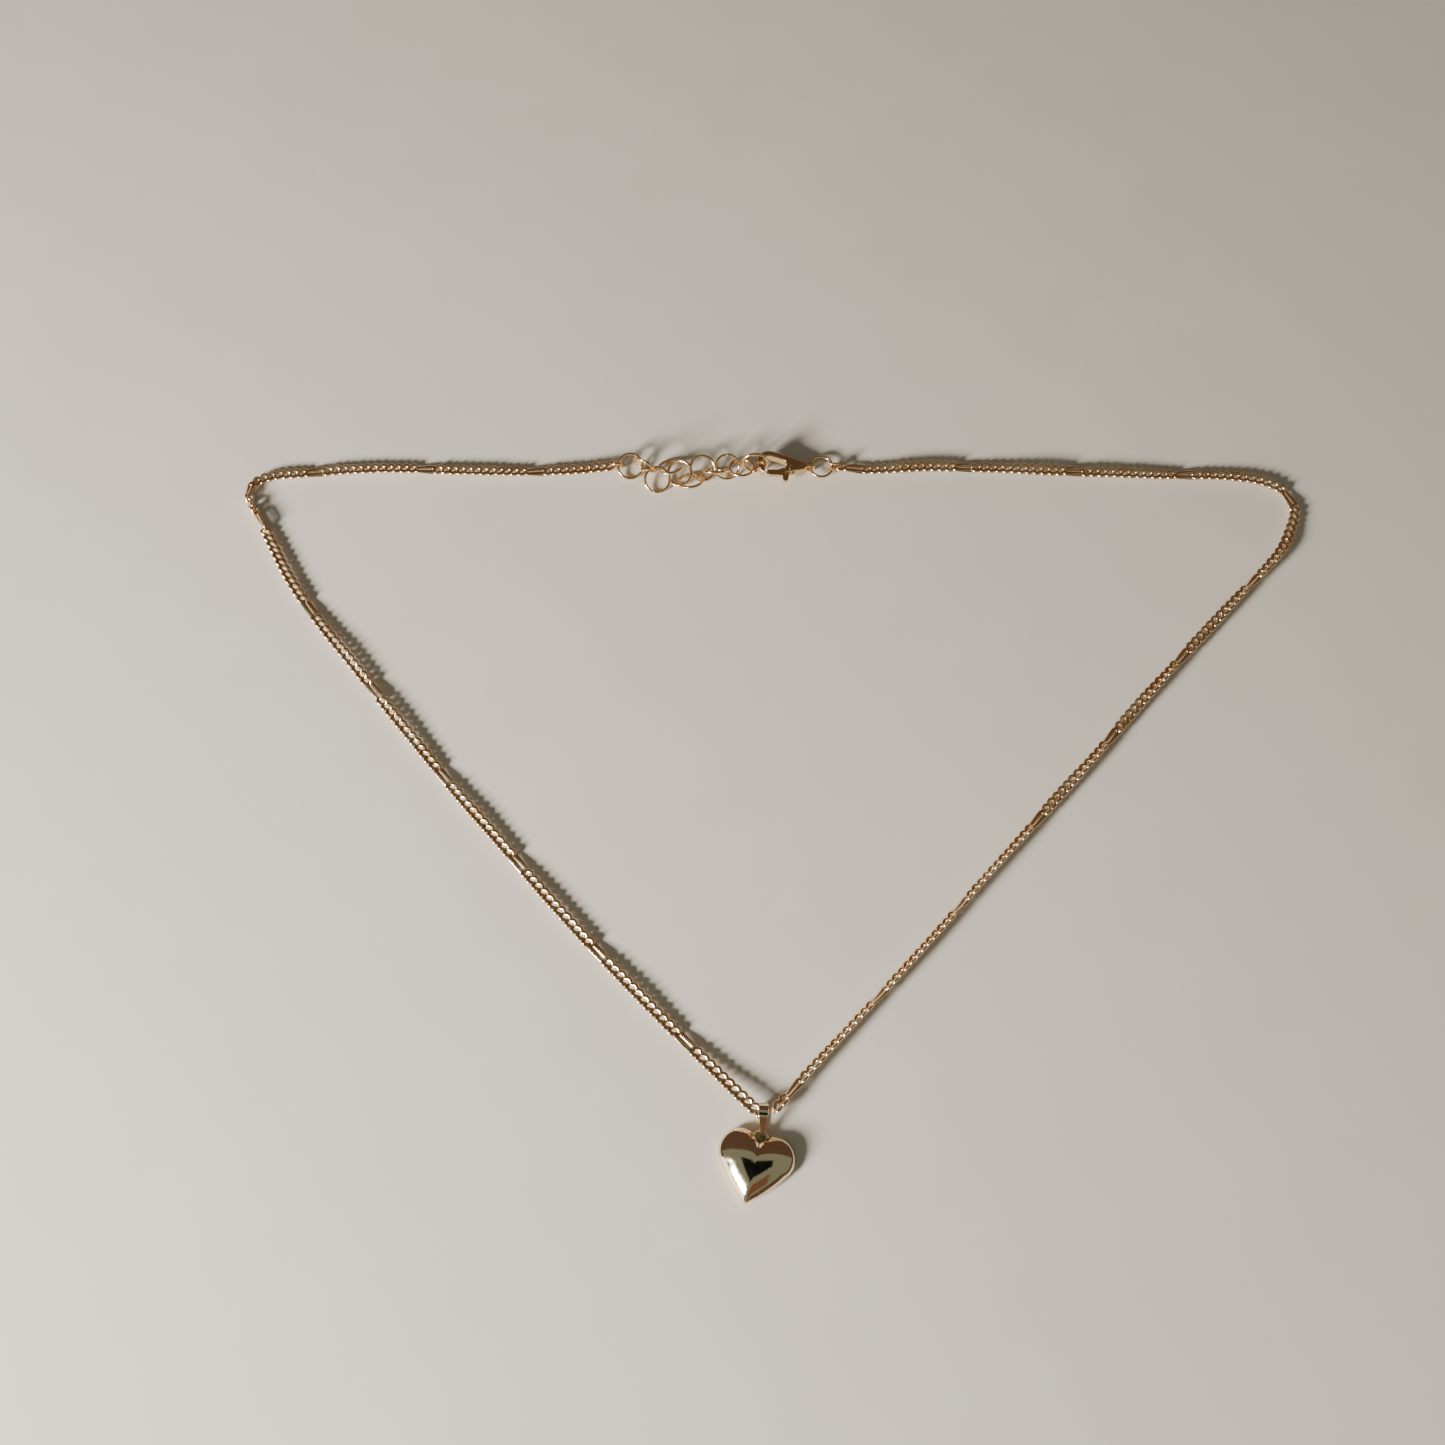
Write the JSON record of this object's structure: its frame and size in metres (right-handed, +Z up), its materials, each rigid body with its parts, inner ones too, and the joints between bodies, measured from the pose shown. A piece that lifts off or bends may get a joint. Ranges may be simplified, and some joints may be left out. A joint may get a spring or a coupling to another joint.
{
  "type": "heart pendant necklace",
  "caption": "Fine curb-chain necklace with long accent links, lobster clasp, ring extender and a puffed heart pendant on a strip bail, laid flat and closed.",
  "frame": {"origin": "under the middle of the outline, on the resting surface", "axes": "+Z up from the resting surface, +Y from the pendant towards the clasp, +X to the right as seen from the pendant end"},
  "size_m": [0.184, 0.1254, 0.0048],
  "materials": {
    "chain_metal": "polished gold plate",
    "ring_metal": "polished gold plate",
    "clasp_metal": "polished gold plate",
    "pendant_metal": "mirror-polished gold plate",
    "pin_metal": "drawn wire",
    "spring_metal": "drawn wire"
  },
  "bodies": {
    "clasp": {"clasp_body": "clasp_metal", "clasp_pin": "pin_metal", "clasp_spring": "spring_metal"},
    "lever": {"clasp_lever": "clasp_metal"},
    "jump_ring": {"jump_ring": "ring_metal"},
    "right_end_ring": {"right_end_ring": "ring_metal"},
    "left_end_ring": {"left_end_ring": "ring_metal"},
    "left_chain_run_01": {"left_chain_run_01": "chain_metal"},
    "left_chain_run_02": {"left_chain_run_02": "chain_metal"},
    "left_chain_run_03": {"left_chain_run_03": "chain_metal"},
    "left_chain_run_04": {"left_chain_run_04": "chain_metal"},
    "left_chain_run_05": {"left_chain_run_05": "chain_metal"},
    "left_chain_run_06": {"left_chain_run_06": "chain_metal"},
    "left_chain_run_07": {"left_chain_run_07": "chain_metal"},
    "left_chain_run_08": {"left_chain_run_08": "chain_metal"},
    "left_chain_run_09": {"left_chain_run_09": "chain_metal"},
    "left_chain_run_10": {"left_chain_run_10": "chain_metal"},
    "left_chain_run_11": {"left_chain_run_11": "chain_metal"},
    "right_chain_run_01": {"right_chain_run_01": "chain_metal"},
    "right_chain_run_02": {"right_chain_run_02": "chain_metal"},
    "right_chain_run_03": {"right_chain_run_03": "chain_metal"},
    "right_chain_run_04": {"right_chain_run_04": "chain_metal"},
    "right_chain_run_05": {"right_chain_run_05": "chain_metal"},
    "right_chain_run_06": {"right_chain_run_06": "chain_metal"},
    "right_chain_run_07": {"right_chain_run_07": "chain_metal"},
    "right_chain_run_08": {"right_chain_run_08": "chain_metal"},
    "right_chain_run_09": {"right_chain_run_09": "chain_metal"},
    "right_chain_run_10": {"right_chain_run_10": "chain_metal"},
    "right_chain_run_11": {"right_chain_run_11": "chain_metal"},
    "right_chain_run_12": {"right_chain_run_12": "chain_metal"},
    "extender_ring_01": {"extender_ring_01": "ring_metal"},
    "extender_ring_02": {"extender_ring_02": "ring_metal"},
    "extender_ring_03": {"extender_ring_03": "ring_metal"},
    "extender_ring_04": {"extender_ring_04": "ring_metal"},
    "extender_ring_05": {"extender_ring_05": "ring_metal"},
    "extender_ring_06": {"extender_ring_06": "ring_metal"},
    "extender_ring_07": {"extender_ring_07": "ring_metal"},
    "extender_ring_08": {"extender_ring_08": "ring_metal"},
    "extender_ring_09": {"extender_ring_09": "ring_metal"},
    "extender_ring_10": {"extender_ring_10": "ring_metal"},
    "extender_ring_11": {"extender_ring_11": "ring_metal"},
    "bail": {"bail": "pendant_metal"},
    "heart": {"heart_front_shell": "pendant_metal", "heart_back_plate": "pendant_metal", "heart_loop": "ring_metal"}
  },
  "joints": [
    {"name": "lever_pivot", "type": "hinge", "parent": "clasp", "child": "lever", "pos_m": [0.00346, 0.05962, 0.00149], "axis": [0.1219, 0, 0.9925], "range_deg": [-14, 0], "stiffness_Nm_per_rad": 0.0002, "springref_deg": 17.19},
    {"name": "jump_ring_swing", "type": "hinge", "parent": "clasp", "child": "jump_ring", "pos_m": [0.00702, 0.06047, 0.00105], "axis": [0, 1, 0], "range_deg": [-20, 20]},
    {"name": "right_end_ring_swing", "type": "hinge", "parent": "jump_ring", "child": "right_end_ring", "pos_m": [0.01102, 0.06047, 0.00095], "axis": [0, 1, 0], "range_deg": [-15, 15]},
    {"name": "right_flex_01", "type": "hinge", "parent": "right_end_ring", "child": "right_chain_run_01", "pos_m": [0.01187, 0.06047, 0.00114], "axis": [0.101, 0.9949, 0], "range_deg": [-12, 12]},
    {"name": "right_flex_02", "type": "hinge", "parent": "right_chain_run_01", "child": "right_chain_run_02", "pos_m": [0.01649, 0.06009, 0.00067], "axis": [0.0563, 0.9984, 0], "range_deg": [-12, 12]},
    {"name": "right_flex_03", "type": "hinge", "parent": "right_chain_run_02", "child": "right_chain_run_03", "pos_m": [0.03582, 0.06044, 0.00063], "axis": [0.0319, 0.9995, 0], "range_deg": [-12, 12]},
    {"name": "right_flex_04", "type": "hinge", "parent": "right_chain_run_03", "child": "right_chain_run_04", "pos_m": [0.05514, 0.05957, 0.00073], "axis": [0.0386, 0.9993, 0], "range_deg": [-12, 12]},
    {"name": "right_flex_05", "type": "hinge", "parent": "right_chain_run_04", "child": "right_chain_run_05", "pos_m": [0.07447, 0.059, 0.00061], "axis": [0.0125, 0.9999, 0], "range_deg": [-12, 12]},
    {"name": "right_flex_06", "type": "hinge", "parent": "right_chain_run_05", "child": "right_chain_run_06", "pos_m": [0.09127, 0.05289, 0.00061], "axis": [0.9518, 0.3067, 0], "range_deg": [-12, 12]},
    {"name": "right_flex_07", "type": "hinge", "parent": "right_chain_run_06", "child": "right_chain_run_07", "pos_m": [0.08098, 0.03709, 0.00089], "axis": [0.7011, -0.713, 0], "range_deg": [-12, 12]},
    {"name": "right_flex_08", "type": "hinge", "parent": "right_chain_run_07", "child": "right_chain_run_08", "pos_m": [0.06753, 0.02319, 0.00088], "axis": [0.7231, -0.6907, 0], "range_deg": [-12, 12]},
    {"name": "right_flex_09", "type": "hinge", "parent": "right_chain_run_08", "child": "right_chain_run_09", "pos_m": [0.05441, 0.00898, 0.00087], "axis": [0.7482, -0.6635, 0], "range_deg": [-12, 12]},
    {"name": "right_flex_10", "type": "hinge", "parent": "right_chain_run_09", "child": "right_chain_run_10", "pos_m": [0.0412, -0.00515, 0.00089], "axis": [0.7325, -0.6808, 0], "range_deg": [-12, 12]},
    {"name": "right_flex_11", "type": "hinge", "parent": "right_chain_run_10", "child": "right_chain_run_11", "pos_m": [0.028, -0.0193, 0.00092], "axis": [0.7385, -0.6743, 0], "range_deg": [-12, 12]},
    {"name": "right_flex_12", "type": "hinge", "parent": "right_chain_run_11", "child": "right_chain_run_12", "pos_m": [0.01469, -0.03333, 0.00092], "axis": [0.7163, -0.6978, 0], "range_deg": [-12, 12]},
    {"name": "hooked_ring_swing", "type": "hinge", "parent": "clasp", "child": "extender_ring_11", "pos_m": [-0.00048, 0.06047, 0.00238], "axis": [0, 1, 0], "range_deg": [-4, 4]},
    {"name": "extender_flex_10", "type": "hinge", "parent": "extender_ring_11", "child": "extender_ring_10", "pos_m": [-0.00378, 0.06037, 0.0017], "axis": [0.0866, -0.9962, 0], "range_deg": [-3, 3]},
    {"name": "extender_flex_09", "type": "hinge", "parent": "extender_ring_10", "child": "extender_ring_09", "pos_m": [-0.00623, 0.06012, 0.00141], "axis": [0.1146, -0.9934, 0], "range_deg": [-3, 3]},
    {"name": "extender_flex_08", "type": "hinge", "parent": "extender_ring_09", "child": "extender_ring_08", "pos_m": [-0.00858, 0.05947, 0.00192], "axis": [0.4299, -0.9029, 0], "range_deg": [-3, 3]},
    {"name": "extender_flex_07", "type": "hinge", "parent": "extender_ring_08", "child": "extender_ring_07", "pos_m": [-0.01073, 0.05947, 0.0017], "axis": [-0.4138, -0.9104, 0], "range_deg": [-3, 3]},
    {"name": "extender_flex_06", "type": "hinge", "parent": "extender_ring_07", "child": "extender_ring_06", "pos_m": [-0.01283, 0.05872, 0.00136], "axis": [0.7809, -0.6247, 0], "range_deg": [-3, 3]},
    {"name": "extender_flex_05", "type": "hinge", "parent": "extender_ring_06", "child": "extender_ring_05", "pos_m": [-0.01483, 0.05822, 0.00136], "axis": [-0.6, -0.8, 0], "range_deg": [-3, 3]},
    {"name": "extender_flex_04", "type": "hinge", "parent": "extender_ring_05", "child": "extender_ring_04", "pos_m": [-0.01663, 0.05962, 0.00136], "axis": [-0.6306, -0.7761, 0], "range_deg": [-3, 3]},
    {"name": "extender_flex_03", "type": "hinge", "parent": "extender_ring_04", "child": "extender_ring_03", "pos_m": [-0.01858, 0.05902, 0.00127], "axis": [0.7359, -0.6771, 0], "range_deg": [-3, 3]},
    {"name": "extender_flex_02", "type": "hinge", "parent": "extender_ring_03", "child": "extender_ring_02", "pos_m": [-0.02083, 0.05887, 0.00179], "axis": [-0.7071, -0.7071, 0], "range_deg": [-3, 3]},
    {"name": "extender_flex_01", "type": "hinge", "parent": "extender_ring_02", "child": "extender_ring_01", "pos_m": [-0.02323, 0.06022, 0.00179], "axis": [-0.1888, -0.982, 0], "range_deg": [-3, 3]},
    {"name": "left_end_ring_swing", "type": "hinge", "parent": "extender_ring_01", "child": "left_end_ring", "pos_m": [-0.02667, 0.0603, 0.00119], "axis": [0, 1, 0], "range_deg": [-6, 6]},
    {"name": "left_flex_01", "type": "hinge", "parent": "left_end_ring", "child": "left_chain_run_01", "pos_m": [-0.02753, 0.06037, 0.00131], "axis": [0.0627, -0.998, 0], "range_deg": [-12, 12]},
    {"name": "left_flex_02", "type": "hinge", "parent": "left_chain_run_01", "child": "left_chain_run_02", "pos_m": [-0.04287, 0.05959, 0.0007], "axis": [0.0291, -0.9996, 0], "range_deg": [-12, 12]},
    {"name": "left_flex_03", "type": "hinge", "parent": "left_chain_run_02", "child": "left_chain_run_03", "pos_m": [-0.06223, 0.06014, 0.00069], "axis": [-0.0272, -0.9996, 0], "range_deg": [-12, 12]},
    {"name": "left_flex_04", "type": "hinge", "parent": "left_chain_run_03", "child": "left_chain_run_04", "pos_m": [-0.08158, 0.05935, 0.00061], "axis": [0.1002, -0.995, 0], "range_deg": [-12, 12]},
    {"name": "left_flex_05", "type": "hinge", "parent": "left_chain_run_04", "child": "left_chain_run_05", "pos_m": [-0.08755, 0.0484, 0.00061], "axis": [0.856, 0.517, 0], "range_deg": [-12, 12]},
    {"name": "left_flex_06", "type": "hinge", "parent": "left_chain_run_05", "child": "left_chain_run_06", "pos_m": [-0.07734, 0.03197, 0.00061], "axis": [0.7943, 0.6076, 0], "range_deg": [-12, 12]},
    {"name": "left_flex_07", "type": "hinge", "parent": "left_chain_run_06", "child": "left_chain_run_07", "pos_m": [-0.06505, 0.01699, 0.00071], "axis": [0.7743, 0.6328, 0], "range_deg": [-12, 12]},
    {"name": "left_flex_08", "type": "hinge", "parent": "left_chain_run_07", "child": "left_chain_run_08", "pos_m": [-0.05261, 0.00214, 0.00061], "axis": [0.764, 0.6452, 0], "range_deg": [-12, 12]},
    {"name": "left_flex_09", "type": "hinge", "parent": "left_chain_run_08", "child": "left_chain_run_09", "pos_m": [-0.03973, -0.01234, 0.00061], "axis": [0.7525, 0.6586, 0], "range_deg": [-12, 12]},
    {"name": "left_flex_10", "type": "hinge", "parent": "left_chain_run_09", "child": "left_chain_run_10", "pos_m": [-0.02656, -0.02655, 0.00061], "axis": [0.7159, 0.6982, 0], "range_deg": [-12, 12]},
    {"name": "left_flex_11", "type": "hinge", "parent": "left_chain_run_10", "child": "left_chain_run_11", "pos_m": [-0.01281, -0.0402, 0.00068], "axis": [0.6909, 0.7229, 0], "range_deg": [-12, 12]},
    {"name": "bail_on_chain", "type": "hinge", "parent": "left_chain_run_11", "child": "bail", "pos_m": [-0.00223, -0.04968, 0.0015], "axis": [0.9976, -0.0698, 0], "range_deg": [-35, 35]},
    {"name": "heart_on_bail", "type": "hinge", "parent": "bail", "child": "heart", "pos_m": [-0.00242, -0.05241, 0.00092], "axis": [0.9976, -0.0698, 0], "range_deg": [-60, 60]}
  ]
}
